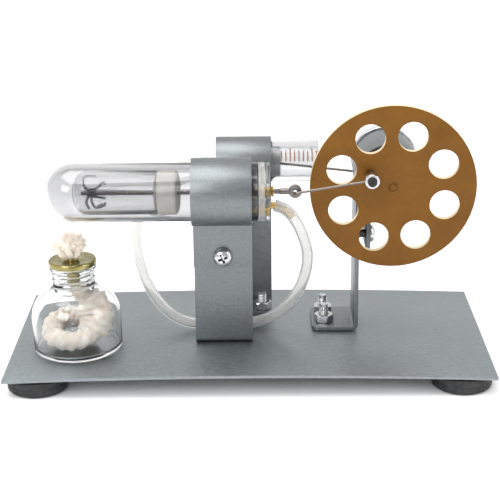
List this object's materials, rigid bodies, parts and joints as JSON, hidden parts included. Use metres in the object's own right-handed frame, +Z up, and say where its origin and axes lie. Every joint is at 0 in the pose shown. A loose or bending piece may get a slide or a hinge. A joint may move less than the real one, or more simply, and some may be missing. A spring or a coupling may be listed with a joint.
{
  "type": "stirling engine model",
  "caption": "Desktop hot-air engine with a glass hot cylinder above an alcohol burner, a syringe power cylinder, a hose, crank links and a drilled flywheel on a sheet-metal base.",
  "frame": {"origin": "on the surface that the rubber feet stand on, under the middle of the base plate", "axes": "+X to the right along both cylinders, towards the flywheel; +Y to the rear along the axle; +Z up"},
  "size_m": [0.146, 0.071, 0.0825],
  "materials": {
    "galvanised_steel": "galvanised, mottled satin",
    "zinc_steel": "bright zinc plate",
    "steel_wire": "bright drawn wire",
    "aluminium": "turned",
    "brass": "polished",
    "black_rubber": "matt",
    "clear_glass": "clear",
    "clear_plastic": "clear, polished",
    "frosted_glass": "ground",
    "white_ceramic": "unglazed",
    "silicone": "milky translucent",
    "ochre_enamel": "semi-matt",
    "cotton": "loose twisted fibre"
  },
  "bodies": {
    "base": {"base_plate": "galvanised_steel", "foot_front_left": "black_rubber", "foot_front_right": "black_rubber", "foot_rear_left": "black_rubber", "foot_rear_right": "black_rubber", "hot_bracket": "galvanised_steel", "cold_bracket": "galvanised_steel", "flywheel_bracket": "galvanised_steel", "hot_foot_screw_left": "zinc_steel", "hot_foot_screw_right": "zinc_steel", "hot_foot_nut_left": "zinc_steel", "hot_foot_nut_right": "zinc_steel", "cold_foot_screw_left": "zinc_steel", "cold_foot_screw_right": "zinc_steel", "cold_foot_nut_left": "zinc_steel", "cold_foot_nut_right": "zinc_steel", "flywheel_foot_screw_front": "zinc_steel", "flywheel_foot_screw_rear": "zinc_steel", "flywheel_foot_nut_front": "zinc_steel", "flywheel_foot_nut_rear": "zinc_steel", "hot_clamp_screw": "zinc_steel", "hot_clamp_nut": "zinc_steel", "cold_clamp_screw": "zinc_steel", "cold_clamp_nut": "zinc_steel", "flywheel_clamp_screw": "zinc_steel", "flywheel_clamp_nut": "zinc_steel", "hot_tube": "clear_glass", "tube_seal": "silicone", "tube_end_plug": "clear_plastic", "rod_guide": "brass", "hose_nozzle": "brass", "air_hose": "silicone", "syringe_barrel": "clear_glass", "bearing_housing": "aluminium", "bearing_front": "zinc_steel", "bearing_rear": "zinc_steel"},
    "rotor": {"axle": "zinc_steel", "flywheel": "ochre_enamel", "flywheel_hub": "aluminium", "hub_grub_screw": "steel_wire", "front_crank_pin": "steel_wire", "rear_crank_disc": "aluminium", "rear_crank_pin": "zinc_steel"},
    "displacer": {"displacer_tube": "clear_glass", "displacer_plug": "white_ceramic", "displacer_rod": "steel_wire", "displacer_clip": "steel_wire"},
    "displacer_link": {"displacer_conrod": "zinc_steel"},
    "power_piston": {"piston": "frosted_glass", "wrist_pin": "zinc_steel"},
    "piston_link": {"piston_conrod": "steel_wire"},
    "burner": {"burner_bottle": "clear_glass", "burner_cap": "brass", "burner_wick": "cotton"}
  },
  "joints": [
    {"name": "flywheel_spin", "type": "hinge", "parent": "base", "child": "rotor", "pos_m": [0.0429, 0, 0.0579], "axis": [0, 1, 0], "continuous": true},
    {"name": "displacer_conrod_turn", "type": "hinge", "parent": "rotor", "child": "displacer_link", "pos_m": [0.03606, -0.0202, 0.06185], "axis": [0, 1, 0], "continuous": true},
    {"name": "displacer_slide", "type": "slide", "parent": "base", "child": "displacer", "axis": [1, 0, 0], "range_m": [-0.0014, 0.0144]},
    {"name": "piston_slide", "type": "slide", "parent": "base", "child": "power_piston", "axis": [1, 0, 0], "range_m": [-0.0041, 0.0097]},
    {"name": "piston_conrod_swing", "type": "hinge", "parent": "power_piston", "child": "piston_link", "pos_m": [0.0033, 0.023, 0.056], "axis": [0, 1, 0], "range_deg": [-16, 1.1]},
    {"name": "burner_slide", "type": "slide", "parent": "base", "child": "burner", "axis": [0, -1, 0], "range_m": [0, 0.0095]}
  ],
  "couplings": [
    {"joint": "displacer_conrod_turn", "follows": "flywheel_spin", "ratio": -1}
  ]
}
